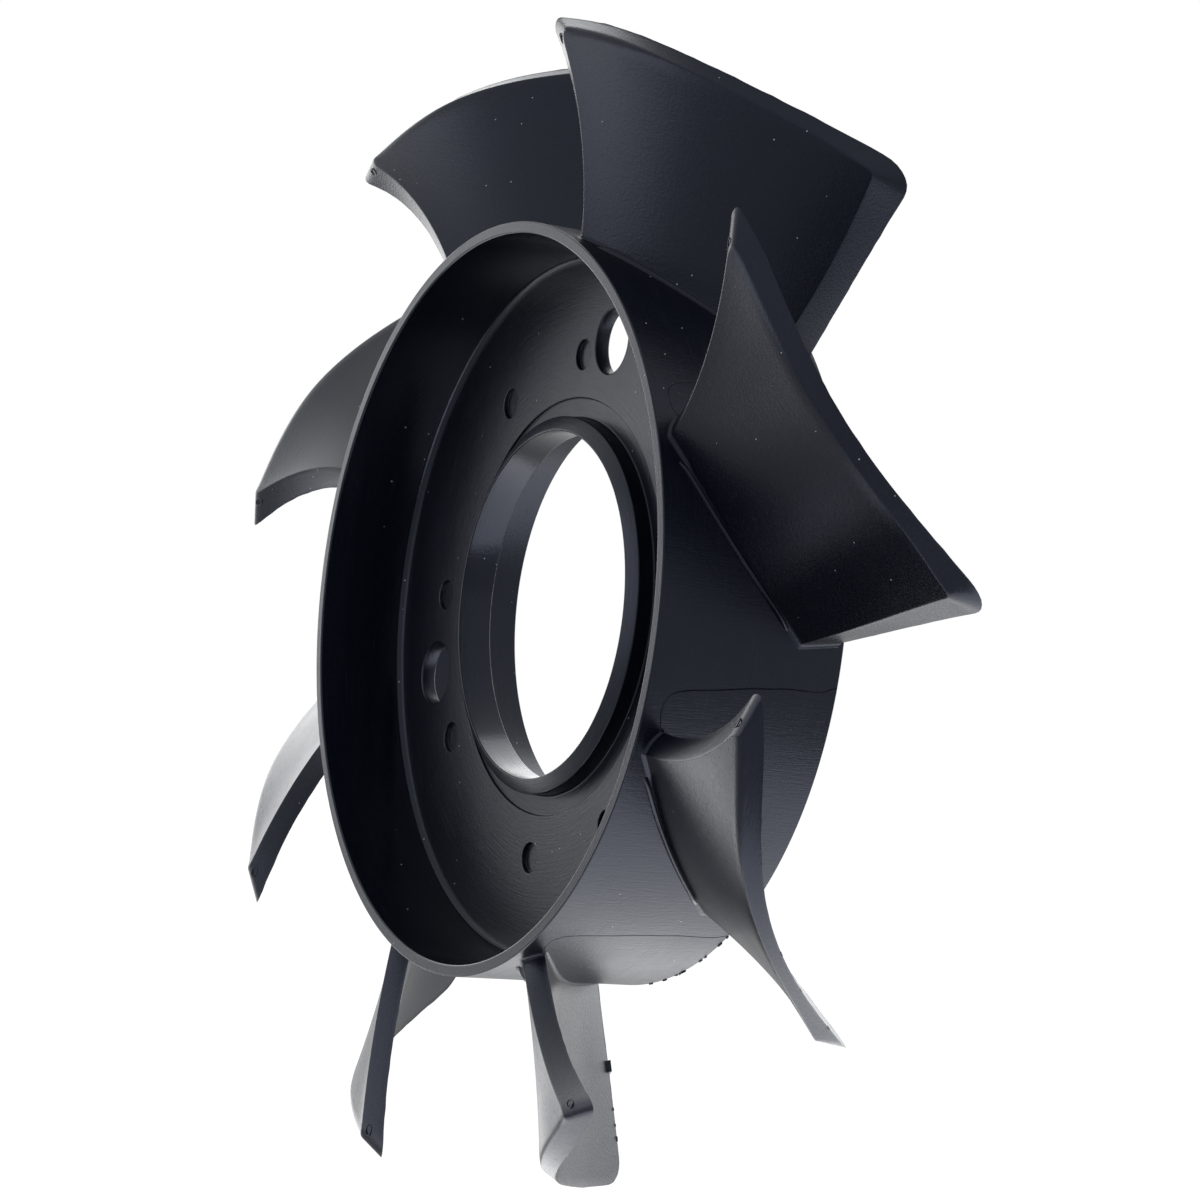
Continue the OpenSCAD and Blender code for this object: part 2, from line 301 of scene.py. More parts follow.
def make_blade():
    """One blade as a closed shell, its root fillet sunk into the drum."""
    front, back, rows, k, i = blade_grids()
    rings, columns = front.shape[:2]
    ids = np.arange(rings * columns).reshape(rings, columns)
    ids_back = ids + rings * columns
    points = np.concatenate([front.reshape(-1, 3), back.reshape(-1, 3)] + rows)
    strip = [ids[k, i]] + [2 * rings * columns + n * len(k) + np.arange(len(k)) for n in range(len(rows))]
    strip.append(ids_back[k, i])

    # the root fillet widens each low ring along its own outward direction
    for ring in range(2 + len(FILLET_RINGS)):
        tail = len(k) - 1 - ring
        loop = np.concatenate([ids[ring], [s[tail] for s in strip[1:-1]], ids_back[ring][::-1],
                               [s[ring] for s in strip[-2:0:-1]]])
        p = points[loop]
        radius = np.hypot(p[:, 0], p[:, 2])
        flat = np.stack([np.arctan2(p[:, 0], p[:, 2]) * radius, p[:, 1]], -1)
        along = unit(np.roll(flat, -1, 0) - np.roll(flat, 1, 0))
        d = np.clip(DRUM_R + ROOT_FILLET - radius, 0, ROOT_FILLET)
        wider = ROOT_FILLET - np.sqrt(ROOT_FILLET**2 - d**2) + np.maximum(DRUM_R - radius, 0)
        flat += np.stack([along[:, 1], -along[:, 0]], -1) * wider[:, None]
        points[loop] = at(radius, np.degrees(flat[:, 0] / radius), flat[:, 1] - RIM_Y)

    faces = []
    for grid in (ids, ids_back):
        faces += [(grid[a, b], grid[a, b + 1], grid[a + 1, b + 1], grid[a + 1, b])
                  for a in range(rings - 1) for b in range(columns - 1)]
    for a, b in zip(strip, strip[1:]):
        faces += [(a[n], a[n + 1], b[n + 1], b[n]) for n in range(len(k) - 1)]
    faces += [(ids[0, n], ids[0, n + 1], ids_back[0, n + 1], ids_back[0, n]) for n in range(columns - 1)]
    faces += [tuple(s[0] for s in strip), tuple(s[-1] for s in strip)]
    return mesh_object("blade", points * MM, faces, strip[-2])


def rounded(corners, steps):
    """A closed profile with its corners rounded: each corner is a radius, an axial place and a rounding."""
    points = []
    for i, (r, y, rounding) in enumerate(corners):
        p = np.array([r, y])
        if rounding == 0:
            points.append(p)
            continue
        a = np.array(corners[i - 1][:2]) - p
        b = np.array(corners[(i + 1) % len(corners)][:2]) - p
        a, b = a / np.linalg.norm(a), b / np.linalg.norm(b)
        half = math.acos(np.clip(a @ b, -1, 1)) / 2
        start, end = p + a * rounding / math.tan(half), p + b * rounding / math.tan(half)
        centre = p + (a + b) / np.linalg.norm(a + b) * rounding / math.sin(half)
        for k in range(steps + 1):
            q = mix(start, end, k / steps) - centre
            points.append(centre + q / np.linalg.norm(q) * rounding)
    return points


# How finely the hub's turned faces and the holes are divided
AROUND = 320
HOLE_POINTS = 72
OUTER_STEPS, INNER_STEPS = 6, 5

# Roundings of the hub's edges and inner corners, from a crisp edge to the ring's root
CRISP = 0.3
EDGE = 0.35
EASED = 0.5
RING_CORNER = 0.6
RING_ROOT = 0.8
HOLE_EDGE = 0.5
PIN_LIP = 0.3
PIN_LIP_MIDDLE = (-0.1, 0.08)

# Two radii on the flat of the web, where the profiles outside and inside the fixing holes stop
WEB_OUT_R, WEB_IN_R = 80, 60

# A radius is taken as this much smaller where a face's centre is told to lie outside it, against round-off
ROUND_OFF = 0.9999


def circle(r, n, centre=(0.0, 0.0)):
    turn = np.radians(np.arange(n) * 360 / n)
    return np.stack([centre[0] + r * np.sin(turn), centre[1] + r * np.cos(turn)], -1)


def revolved(profile):
    """Points and faces of an open strip turned about the axis."""
    turn = np.radians(np.arange(AROUND) * 360 / AROUND)
    points = [(p[0] * math.sin(a) * MM, p[1] * MM, p[0] * math.cos(a) * MM) for p in profile for a in turn]
    return points, ring_faces(len(profile), AROUND)


def hole_centre(r, a):
    return r * math.sin(math.radians(a)), r * math.cos(math.radians(a))


def flat_with_holes(r_in, r_out, y, holes):
    """Points and faces of a flat ring across the axis at place y, left open at the holes."""
    loops = [circle(r_out, AROUND), circle(r_in, AROUND)]
    loops += [circle(radius, HOLE_POINTS, hole_centre(r, a)) for r, a, radius in holes]
    points, edges = [], []
    for loop in loops:
        start = len(points)
        points += [Vector(p) for p in loop]
        edges += [(start + i, start + (i + 1) % len(loop)) for i in range(len(loop))]
    found = delaunay_2d_cdt(points, edges, [], 0, 1e-6)
    flat, faces = found[0], []
    for f in found[2]:
        c = sum((flat[i] for i in f), Vector((0, 0))) / len(f)
        inside = r_in * ROUND_OFF < c.length < r_out
        for r, a, radius in holes:
            inside = inside and (c - Vector(hole_centre(r, a))).length > radius * ROUND_OFF
        if inside:
            faces.append(tuple(f))
    return [(p[0] * MM, y * MM, p[1] * MM) for p in flat], faces


def hole_wall(r, a, radius, profile, closed):
    """Points and faces of a hole's wall along a profile of (inset, place along the axis)."""
    points = []
    for inset, y in profile:
        ring = circle(radius - inset, HOLE_POINTS, hole_centre(r, a))
        points += [(p[0] * MM, y * MM, p[1] * MM) for p in ring]
    faces = ring_faces(len(profile), HOLE_POINTS)
    if closed:
        last = (len(profile) - 1) * HOLE_POINTS
        faces.append(tuple(last + i for i in range(HOLE_POINTS)))
    return points, faces


def make_hub():
    """The drum with its web, collar, recess, rear ring, fixing holes and pin marks, as one closed shell."""
    outer = rounded([
        (CORNER_R, 0, WEB_FILLET), (WALL_R, RIM_Y, EASED), (DRUM_R, RIM_Y, EDGE),
        (DRUM_R, REAR_Y, EDGE), (WALL_R, REAR_Y, EASED), (CORNER_R, WEB_T, WEB_FILLET),
        (WEB_OUT_R, WEB_T, 0), (WEB_OUT_R, 0, 0)], OUTER_STEPS)[:-2]
    inner = rounded([
        (WEB_IN_R, WEB_T, 0), (RING_OUT_R, WEB_T, RING_ROOT), (RING_OUT_R, WEB_T + RING_L, EDGE),
        (RING_IN_R, WEB_T + RING_L, EDGE), (RING_IN_R, WEB_T, RING_CORNER), (BORE_R, WEB_T, EDGE),
        (BORE_R, -COLLAR_H, CRISP), (COLLAR_R, COLLAR_FALL - COLLAR_H, EASED),
        (COLLAR_R, RECESS_DEPTH, EASED), (RECESS_R, RECESS_DEPTH, CRISP), (RECESS_R, 0, CRISP),
        (WEB_IN_R, 0, 0)], INNER_STEPS)[1:-1]
    hole_lips = [(r, a, radius + HOLE_EDGE) for r, a, radius in HOLES]
    pin_lips = [(r, a, radius + PIN_LIP) for r, a, radius in PIN_MARKS]
    through_wall = [(-HOLE_EDGE, 0)] + [(-HOLE_EDGE * (1 - math.sin(u)), HOLE_EDGE * (1 - math.cos(u)))
                                        for u in np.radians((30, 60, 90))]
    through_wall += [(x, WEB_T - y) for x, y in reversed(through_wall)]
    pin_wall = [(-PIN_LIP, 0), PIN_LIP_MIDDLE, (0, PIN_LIP)]
    pin_wall += [(-x, PIN_DEPTH - y) for x, y in reversed(pin_wall)]
    parts = [revolved(outer), revolved(inner),
             flat_with_holes(inner[-1][0], outer[0][0], 0, hole_lips + pin_lips),
             flat_with_holes(inner[0][0], outer[-1][0], WEB_T, hole_lips)]
    parts += [hole_wall(r, a, radius, through_wall, False) for r, a, radius in HOLES]
    parts += [hole_wall(r, a, radius, pin_wall, True) for r, a, radius in PIN_MARKS]
    return mesh_object("hub", *joined(parts))


def swept_on_drum(name, path, section, heights):
    """A bar of the given section, as widths and heights, laid along a path of angles and axial places on the
    drum. Each height above the drum is multiplied by the one of the path's point."""
    flat = path * (arc_mm(DRUM_R), 1)
    along = unit(np.gradient(flat, axis=0))
    points = []
    for (a, y), (du, dy), rise in zip(path, along, heights):
        for w, h in section:
            h = h * rise if h > 0 else h
            points.append(at(DRUM_R + h, a - dy * w / arc_mm(DRUM_R), y + du * w) * MM)
    m = len(section)
    faces = ring_faces(len(path), m)
    faces += [tuple(range(m)), tuple(range((len(path) - 1) * m, len(path) * m))]
    return mesh_object(name, points, faces)


# The root rib: half its section as widths and heights, the part of the chord that it spans, its distance in
# front of the blade at both ends, the steps along it, over three of which it rises, and the square of the
# share of its height with which it starts
RIB_HALF = [(0.8, -1.0), (0.62, 0.1), (0.5, 0.5), (0.3, 0.8), (0.1, 0.92)]
RIB_SPAN = (0.13, 0.93)
RIB_AHEAD = (1.5, 0.7)
RIB_STEPS = 40
RIB_RISE_STEPS = 3
RIB_START = 0.02


def make_root_rib():
    """The thin rib along the drum in front of a blade's root, tapering into the drum at both ends."""
    section = [(-w, h) for w, h in RIB_HALF] + RIB_HALF[::-1]
    u = np.linspace(0, 1, RIB_STEPS + 1)
    a, y = front_side(mix(*RIB_SPAN, u), 0.0)
    rises = np.minimum(1, np.sqrt(np.minimum(u, 1 - u) * RIB_STEPS / RIB_RISE_STEPS + RIB_START))
    return swept_on_drum("root_rib", np.stack([a, y - mix(*RIB_AHEAD, u)], -1), section, rises)


def smooth_path(corners, per_span=6):
    """A smooth line through the corners, each an angle and an axial place."""
    p = np.array([corners[0]] + list(corners) + [corners[-1]], float)
    out = []
    for a, b, c, d in zip(p, p[1:], p[2:], p[3:]):
        for u in np.arange(per_span) / per_span:
            out.append(b + 0.5 * u * (c - a + u * (2 * a - 5 * b + 4 * c - d + u * (3 * (b - c) + d - a))))
    return np.array(out + [p[-1]])


# Where two slides of the mould met on the drum, as angles and places behind the rim, in front of the first
# blade: a hook round the blade's nose, then a long line to the rear rim. The cutter's section is widths and
# heights.
WITNESS_HOOK = [(16.6, 7.4), (15.5, 6.1), (14.6, 5.2), (13.2, 4.7), (11.9, 4.7), (10.8, 5.4), (10.0, 6.8)]
WITNESS_LINE = [(9.6, 8.6), (9.3, 11.5), (9.05, 15.6), (8.75, 20.0), (8.3, 25.5), (8.05, 31.0), (7.8, 36.0),
                (7.85, 40.5), (7.8, 44.8), (7.2, 47.6), (6.9, 49.4)]
WITNESS_CUT = [(-0.5, 0.3), (0.0, -0.17), (0.45, 0.3)]


def make_witness_line():
    """The cutter for the fine line that the mould's slides left on the drum."""
    path = smooth_path(WITNESS_HOOK + WITNESS_LINE)
    return swept_on_drum("witness_line", path, WITNESS_CUT, np.ones(len(path)))


# The ring that a core pin left on the front edge: the fraction across the edge and the span fraction where
# it sits, its half axes along the span and across, its tube's radius, how high the tube's middle stands as a
# share of that, and its steps
PIN_RING_AT = (0.33, 0.895)
PIN_RING_HALF = (1.35, 0.85)
PIN_RING_TUBE = 0.16
PIN_RING_RISE = 0.2
PIN_RING_STEPS, PIN_TUBE_STEPS = 24, 8


def make_pin_ring():
    """The small raised ring that a core pin left on the narrow front edge, near the tip."""
    def on_edge(s, v):
        return at(mix(DRUM_R, TIP_R, v), *mix(np.array(front_side(0.0, v)), np.array(back_side(0.0, v)), s))

    s, v = PIN_RING_AT
    little = 0.01
    here = on_edge(s, v)
    up = on_edge(s, v + little) - here
    normal = unit(np.cross(on_edge(s + little, v) - here, up))
    normal = normal * -np.sign(normal[1])
    side = unit(up)
    cross = np.cross(normal, side)
    points = []
    for turn in np.arange(PIN_RING_STEPS) * math.tau / PIN_RING_STEPS:
        out = side * math.cos(turn) * PIN_RING_HALF[0] + cross * math.sin(turn) * PIN_RING_HALF[1]
        for roll in np.arange(PIN_TUBE_STEPS) * math.tau / PIN_TUBE_STEPS:
            tube = unit(out) * math.cos(roll) + normal * (math.sin(roll) + PIN_RING_RISE)
            points.append((here + out + PIN_RING_TUBE * tube) * MM)
    return mesh_object("pin_ring", points, ring_faces(PIN_RING_STEPS, PIN_TUBE_STEPS, True))


# Where scraps of flash hang: the angles that take the first blade to the two that carry them, the span
# fractions of the main scrap's middle and of the point that it runs towards, and its half sizes, and for the
# small ones how many there are, their range along the span, the chord or the rear rim, and the half sizes of
# the smallest and the largest
SCRAP_SEED = 7
LOW_BLADE_TURN, NEXT_BLADE_TURN = 135, 90
MAIN_SCRAP_V, MAIN_SCRAP_HALF = (0.43, 0.48), (2.0, 0.95, 0.6)
EDGE_SCRAPS, EDGE_SCRAP_V, EDGE_SCRAP_HALF = 4, (0.3, 0.84), ((0.3, 0.2, 0.15), (0.8, 0.35, 0.25))
TIP_SCRAPS, TIP_SCRAP_T, TIP_SCRAP_HALF = 9, (0.3, 0.9), ((0.3, 0.15, 0.15), (0.6, 0.25, 0.2))
RIM_SCRAPS, RIM_SCRAP_A, RIM_SCRAP_HALF = 11, (141, 166), ((0.3, 0.2, 0.15), (1.0, 0.32, 0.25))
TIP_SCRAP_SPAN = 0.997
RIM_SCRAP_IN = 0.2

# How far ahead on its edge, as a fraction or in degrees on the rim, a small scrap's direction is taken, the
# way that its box is tilted, and the shares of its half sizes between which its corners are pulled
SCRAP_AHEAD, RIM_AHEAD = 0.02, 1
SCRAP_TILT = (0.3, 1.0, 0.2)
SCRAP_PULL = (0.6, 1.15)
BOX_FACES = ((0, 1, 3, 2), (4, 6, 7, 5), (0, 4, 5, 1), (2, 3, 7, 6), (0, 2, 6, 4), (1, 5, 7, 3))


def make_scraps():
    """Torn scraps of flash: a bigger one on the lowest blade's rear edge, and small ones along that edge,
    along the next blade's tip and on the drum's rear rim below them. Each is a box with its corners pulled
    about."""
    rng = np.random.default_rng(SCRAP_SEED)

    def on_back(t, v, turn):
        a, y = back_side(t, v)
        return at(mix(DRUM_R, TIP_R, v), a + turn, y)

    def on_rim(a):
        return at(DRUM_R, a, REAR_Y - RIM_Y - RIM_SCRAP_IN)

    def rear_edge(v):
        return on_back(1.0, v, LOW_BLADE_TURN)

    def next_tip(t):
        return on_back(t, TIP_SCRAP_SPAN, NEXT_BLADE_TURN)

    spots = [(rear_edge(MAIN_SCRAP_V[0]), rear_edge(MAIN_SCRAP_V[1]), MAIN_SCRAP_HALF)]
    for v in rng.uniform(*EDGE_SCRAP_V, EDGE_SCRAPS):
        spots.append((rear_edge(v), rear_edge(v + SCRAP_AHEAD), rng.uniform(*EDGE_SCRAP_HALF)))
    for t in rng.uniform(*TIP_SCRAP_T, TIP_SCRAPS):
        spots.append((next_tip(t), next_tip(t + SCRAP_AHEAD), rng.uniform(*TIP_SCRAP_HALF)))
    for a in rng.uniform(*RIM_SCRAP_A, RIM_SCRAPS):
        spots.append((on_rim(a), on_rim(a + RIM_AHEAD), rng.uniform(*RIM_SCRAP_HALF)))
    boxes = []
    for centre, to, half in spots:
        along = unit(to - centre)
        across = unit(np.cross(along, SCRAP_TILT))
        axes = (along, across, np.cross(along, across))
        corners = [centre + sum(axis * size * sign * rng.uniform(*SCRAP_PULL)
                                for axis, size, sign in zip(axes, half, (x, y, z)))
                   for x in (-1, 1) for y in (-1, 1) for z in (-1, 1)]
        boxes.append((corners, BOX_FACES))
    points, faces = joined(boxes)
    return mesh_object("scraps", np.array(points) * MM, faces)


def add(tree, kind, inputs=None, **settings):
    """Adds a node with its settings, and sets or links its inputs, given by name or number."""
    node = tree.nodes.new(kind)
    for name, value in settings.items():
        setattr(node, name, value)
    for key, value in (inputs or {}).items():
        if isinstance(value, bpy.types.NodeSocket):
            tree.links.new(value, node.inputs[key])
        else:
            node.inputs[key].default_value = value
    return node


def linear(code):
    """Scene colour of an sRGB hex value."""
    values = [int(code[i:i + 2], 16) / 255 for i in (1, 3, 5)]
    return [v / 12.92 if v <= 0.04045 else ((v + 0.055) / 1.055) ** 2.4 for v in values] + [1.0]


# Flash stands out where a noise with lumps of this size, in millimetres, runs above the lower of two levels
FLASH_LUMP = 4
FLASH_LEVELS = (0.5, 0.75)


def around_axis_tree():
    """Geometry Nodes that repeat a shape around the wheel's axis, with ragged flash at its marked points."""
    tree = bpy.data.node_groups.new("repeat around the axis", "GeometryNodeTree")
    face = tree.interface
    face.new_socket("Shape", in_out="INPUT", socket_type="NodeSocketGeometry")
    face.new_socket("Count", in_out="INPUT", socket_type="NodeSocketInt")
    face.new_socket("Flash", in_out="INPUT", socket_type="NodeSocketFloat")
    face.new_socket("Plastic", in_out="INPUT", socket_type="NodeSocketMaterial")
    face.new_socket("Shape", in_out="OUTPUT", socket_type="NodeSocketGeometry")
    given = add(tree, "NodeGroupInput")
    step = add(tree, "ShaderNodeMath", {0: math.tau, 1: given.outputs["Count"]}, operation="DIVIDE")
    index = add(tree, "GeometryNodeInputIndex")
    angle = add(tree, "ShaderNodeMath", {0: index.outputs[0], 1: step.outputs[0]}, operation="MULTIPLY")
    turn = add(tree, "ShaderNodeCombineXYZ", {"Y": angle.outputs[0]})
    points = add(tree, "GeometryNodePoints", {"Count": given.outputs["Count"]})
    placed = add(tree, "GeometryNodeInstanceOnPoints", {
        "Points": points.outputs[0], "Instance": given.outputs["Shape"], "Rotation": turn.outputs[0]})
    real = add(tree, "GeometryNodeRealizeInstances", {"Geometry": placed.outputs[0]})

    mark = add(tree, "GeometryNodeInputNamedAttribute", {"Name": "flash"}, data_type="FLOAT")
    spot = add(tree, "GeometryNodeInputPosition")
    ragged = add(tree, "ShaderNodeTexNoise", {
        "Vector": spot.outputs[0], "Scale": 1 / (FLASH_LUMP * MM), "Detail": 2.0})
    height = add(tree, "ShaderNodeMapRange", {
        "Value": ragged.outputs["Fac"], "From Min": FLASH_LEVELS[0], "From Max": FLASH_LEVELS[1],
        "To Max": given.outputs["Flash"]})
    shift = add(tree, "ShaderNodeMath", {
        0: mark.outputs["Attribute"], 1: height.outputs[0]}, operation="MULTIPLY")
    normal = add(tree, "GeometryNodeInputNormal")
    offset = add(tree, "ShaderNodeVectorMath", {
        0: normal.outputs[0], "Scale": shift.outputs[0]}, operation="SCALE")
    torn = add(tree, "GeometryNodeSetPosition", {"Geometry": real.outputs[0], "Offset": offset.outputs[0]})
    dressed = add(tree, "GeometryNodeSetMaterial", {
        "Geometry": torn.outputs[0], "Material": given.outputs["Plastic"]})
    add(tree, "NodeGroupOutput", {"Shape": dressed.outputs[0]})
    return tree


def plain(obj):
    """The object with its modifiers turned into a plain mesh."""
    graph = bpy.context.evaluated_depsgraph_get()
    mesh = bpy.data.meshes.new_from_object(obj.evaluated_get(graph), depsgraph=graph)
    obj.modifiers.clear()
    obj.data = mesh
    return obj


def around_axis(obj, tree, material, flash=0.0):
    """Turns an object into its repeats around the axis, as a plain mesh, with up to flash mm more at its
    marked points."""
    modifier = obj.modifiers.new("repeat", "NODES")
    modifier.node_group = tree
    names = {s.name: s.identifier for s in tree.interface.items_tree if s.in_out == "INPUT"}
    modifier[names["Count"]] = BLADES
    modifier[names["Flash"]] = flash * MM
    modifier[names["Plastic"]] = material
    return plain(obj)


# Patterns of the plastic in millimetres: how far apart their features lie, how long those are drawn out and
# how deep they look. The turned lines are drawn out along the turn, to a seventh of a radian. The real grain
# is finer than the render can show, so it is drawn as coarse as it needs to show.
STONING_APART, STONING_LONG, STONING_DEEP = 0.35, 6, 0.06
TURNED_APART, TURNED_DEEP = 0.5, 0.05
TURNED_PER_RADIAN = 7.0
GRAIN_APART, GRAIN_DEEP = 0.9, 0.05
CLOUDS_APART = 28
DUST_APART = 3.2

# Dust is a dot of this radius, as a share of the spacing and from its soft to its full edge, in about one
# cell of five
DUST_DOT = (0.058, 0.042)
DUST_RARITY = 0.78

# Where the finish changes: the distances in millimetres over which it fades in towards the bore, the drum's
# inner wall and its outside, and the roughness of the first two, which were polished on the mould's core
BORE_POLISH, BORE_ROUGHNESS = (0.5, 0.2), 0.2
WALL_POLISH, WALL_ROUGHNESS = (1.5, 1.1), 0.17
ON_DRUM = (0.3, 0.1)

# The levels of the noise between which the clouds and the turned lines show, how strongly the lines show,
# and how much rougher the plastic gets across the clouds and along the lines
CLOUD_LEVELS, CLOUD_ROUGHNESS = (0.3, 0.7), 0.07
LINE_LEVELS, LINE_SHOW, LINE_ROUGHNESS = (0.55, 0.75), 0.35, 0.35


def near_radius(tree, r, radius, fade):
    """1 close to a radius in millimetres and 0 away from it, fading in between two distances."""
    off = add(tree, "ShaderNodeMath", {0: r, 1: radius * MM}, operation="SUBTRACT").outputs[0]
    off = add(tree, "ShaderNodeMath", {0: off}, operation="ABSOLUTE").outputs[0]
    return add(tree, "ShaderNodeMapRange", {
        "Value": off, "From Min": fade[0] * MM, "From Max": fade[1] * MM}).outputs[0]


def turned_lines(tree, xyz, r):
    """Lines of the turned mould, close together across radius and axis and drawn out along the turn."""
    turn_x = add(tree, "ShaderNodeMath", {0: xyz["X"], 1: r}, operation="DIVIDE").outputs[0]
    turn_z = add(tree, "ShaderNodeMath", {0: xyz["Z"], 1: r}, operation="DIVIDE").outputs[0]
    apart = 1 / (TURNED_APART * MM)
    across_r = add(tree, "ShaderNodeMath", {0: r, 1: apart}, operation="MULTIPLY").outputs[0]
    across_y = add(tree, "ShaderNodeMath", {0: xyz["Y"], 1: apart}, operation="MULTIPLY").outputs[0]
    along_x = add(tree, "ShaderNodeMath", {0: turn_x, 1: TURNED_PER_RADIAN}, operation="MULTIPLY").outputs[0]
    along_z = add(tree, "ShaderNodeMath", {0: turn_z, 1: TURNED_PER_RADIAN}, operation="MULTIPLY").outputs[0]
    polar = add(tree, "ShaderNodeCombineXYZ", {0: across_r, 1: across_y, 2: along_x}).outputs[0]
    return add(tree, "ShaderNodeTexNoise", {
        "Vector": polar, "W": along_z, "Scale": 1.0, "Detail": 3.0, "Roughness": 0.6},
        noise_dimensions="4D").outputs["Fac"]


def stoning_lines(tree, place):
    """Lines left by stoning the mould by hand, drawn out along the axis."""
    scale = (1 / (STONING_APART * MM), 1 / (STONING_LONG * MM), 1 / (STONING_APART * MM))
    drawn = add(tree, "ShaderNodeMapping", {"Vector": place, "Scale": scale}).outputs[0]
    return add(tree, "ShaderNodeTexNoise", {
        "Vector": drawn, "Scale": 1.0, "Detail": 3.0, "Roughness": 0.6}).outputs["Fac"]


def dust_specks(tree, place):
    """Small pale specks, one in about five cells of the pattern."""
    specks = add(tree, "ShaderNodeTexVoronoi", {
        "Vector": place, "Scale": 1 / (DUST_APART * MM), "Randomness": 1.0}).outputs
    speck = add(tree, "ShaderNodeMapRange", {
        "Value": specks["Distance"], "From Min": DUST_DOT[0], "From Max": DUST_DOT[1]}).outputs[0]
    rare = add(tree, "ShaderNodeSeparateColor", {0: specks["Color"]}).outputs[0]
    chosen = add(tree, "ShaderNodeMath", {0: rare, 1: DUST_RARITY}, operation="GREATER_THAN").outputs[0]
    return add(tree, "ShaderNodeMath", {0: speck, 1: chosen}, operation="MULTIPLY").outputs[0]


def nylon(name, tooling, grain, gloss):
    """Glass-filled nylon, injection moulded in black: a satin, faintly blue skin that mirrors what is around
    it softly, with the mould's turned lines where tooling is above 0, a fine grain where grain is, and gloss
    as its roughness."""
    material = bpy.data.materials.new(name)
    material.use_nodes = True
    tree = material.node_tree
    tree.nodes.clear()
    place = add(tree, "ShaderNodeTexCoord").outputs["Object"]
    xyz = add(tree, "ShaderNodeSeparateXYZ", {0: place}).outputs
    xx = add(tree, "ShaderNodeMath", {0: xyz["X"], 1: xyz["X"]}, operation="MULTIPLY").outputs[0]
    rr = add(tree, "ShaderNodeMath", {0: xyz["Z"], 1: xyz["Z"], 2: xx}, operation="MULTIPLY_ADD").outputs[0]
    r = add(tree, "ShaderNodeMath", {0: rr}, operation="SQRT").outputs[0]
    on_drum = near_radius(tree, r, DRUM_R, ON_DRUM)
    in_drum = near_radius(tree, r, (WALL_R + CORNER_R) / 2, WALL_POLISH)
    bore_fade = [(BORE_R + distance) * MM for distance in BORE_POLISH]
    in_bore = add(tree, "ShaderNodeMapRange", {
        "Value": r, "From Min": bore_fade[0], "From Max": bore_fade[1]}).outputs[0]

    lines = turned_lines(tree, xyz, r)
    stoning = stoning_lines(tree, place)
    dust = dust_specks(tree, place)
    fine = add(tree, "ShaderNodeTexNoise", {
        "Vector": place, "Scale": 1 / (GRAIN_APART * MM), "Detail": 2.0}).outputs["Fac"]
    clouds = add(tree, "ShaderNodeTexNoise", {
        "Vector": place, "Scale": 1 / (CLOUDS_APART * MM), "Detail": 3.0}).outputs["Fac"]

    # a black that is faintly blue, paler along the turned lines and under dust
    skin = add(tree, "ShaderNodeMix", {
        0: clouds, 6: linear("#04070f"), 7: linear("#070b15")}, data_type="RGBA").outputs[2]
    lined = add(tree, "ShaderNodeMapRange", {
        "Value": lines, "From Min": LINE_LEVELS[0], "From Max": LINE_LEVELS[1],
        "To Max": LINE_SHOW * tooling}).outputs[0]
    scored = add(tree, "ShaderNodeMix", {
        0: lined, 6: skin, 7: linear("#1d2026")}, data_type="RGBA").outputs[2]
    dusted = add(tree, "ShaderNodeMix", {
        0: dust, 6: scored, 7: linear("#a4a8ae")}, data_type="RGBA").outputs[2]

    # satin, with the bore and the drum's inner wall glossier from a polished core
    rough = add(tree, "ShaderNodeMapRange", {
        "Value": clouds, "From Min": CLOUD_LEVELS[0], "From Max": CLOUD_LEVELS[1],
        "To Min": gloss, "To Max": gloss + CLOUD_ROUGHNESS}).outputs[0]
    rough = add(tree, "ShaderNodeMath", {
        0: lined, 1: LINE_ROUGHNESS, 2: rough}, operation="MULTIPLY_ADD").outputs[0]
    rough = add(tree, "ShaderNodeMix", {
        0: in_bore, 2: rough, 3: BORE_ROUGHNESS}, data_type="FLOAT").outputs[0]
    rough = add(tree, "ShaderNodeMix", {
        0: in_drum, 2: rough, 3: WALL_ROUGHNESS}, data_type="FLOAT").outputs[0]

    # turned lines but on the drum, which was stoned outside and polished inside, and grain over all
    on_wall = add(tree, "ShaderNodeMath", {0: on_drum, 1: in_drum}, operation="MAXIMUM").outputs[0]
    turned = add(tree, "ShaderNodeMapRange", {"Value": on_wall, "To Min": tooling, "To Max": 0.0}).outputs[0]
    relief = add(tree, "ShaderNodeBump", {
        "Height": lines, "Distance": TURNED_DEEP * MM, "Strength": turned}).outputs[0]
    relief = add(tree, "ShaderNodeBump", {
        "Height": stoning, "Distance": STONING_DEEP * MM, "Strength": on_drum, "Normal": relief}).outputs[0]
    relief = add(tree, "ShaderNodeBump", {
        "Height": fine, "Distance": GRAIN_DEEP * MM, "Strength": grain, "Normal": relief}).outputs[0]
    shader = add(tree, "ShaderNodeBsdfPrincipled", {
        "Base Color": dusted, "Roughness": rough, "Normal": relief, "IOR": 1.53,
        "Specular IOR Level": 0.26, "Specular Tint": linear("#dae4ff"), "Metallic": 0.0})
    add(tree, "ShaderNodeOutputMaterial", {"Surface": shader.outputs[0]})
    return material


def combine(body, other, operation="UNION"):
    """Joins another closed shape into the body, or cuts it out, with no faces left inside."""
    modifier = body.modifiers.new("combine", "BOOLEAN")
    modifier.operation = operation
    modifier.solver = "MANIFOLD"
    modifier.object = other
    plain(body)
    bpy.data.objects.remove(other)


# Edges that turn by more than this many degrees stay creased. A corner lies on the drum within DRUM_SLACK
# metres, and a face looks straight out from the drum or along the axis above these cosines.
CREASE = 32
DRUM_SLACK = 2e-5
FACES_OUT = 0.9995
FACES_ALONG = 0.99999


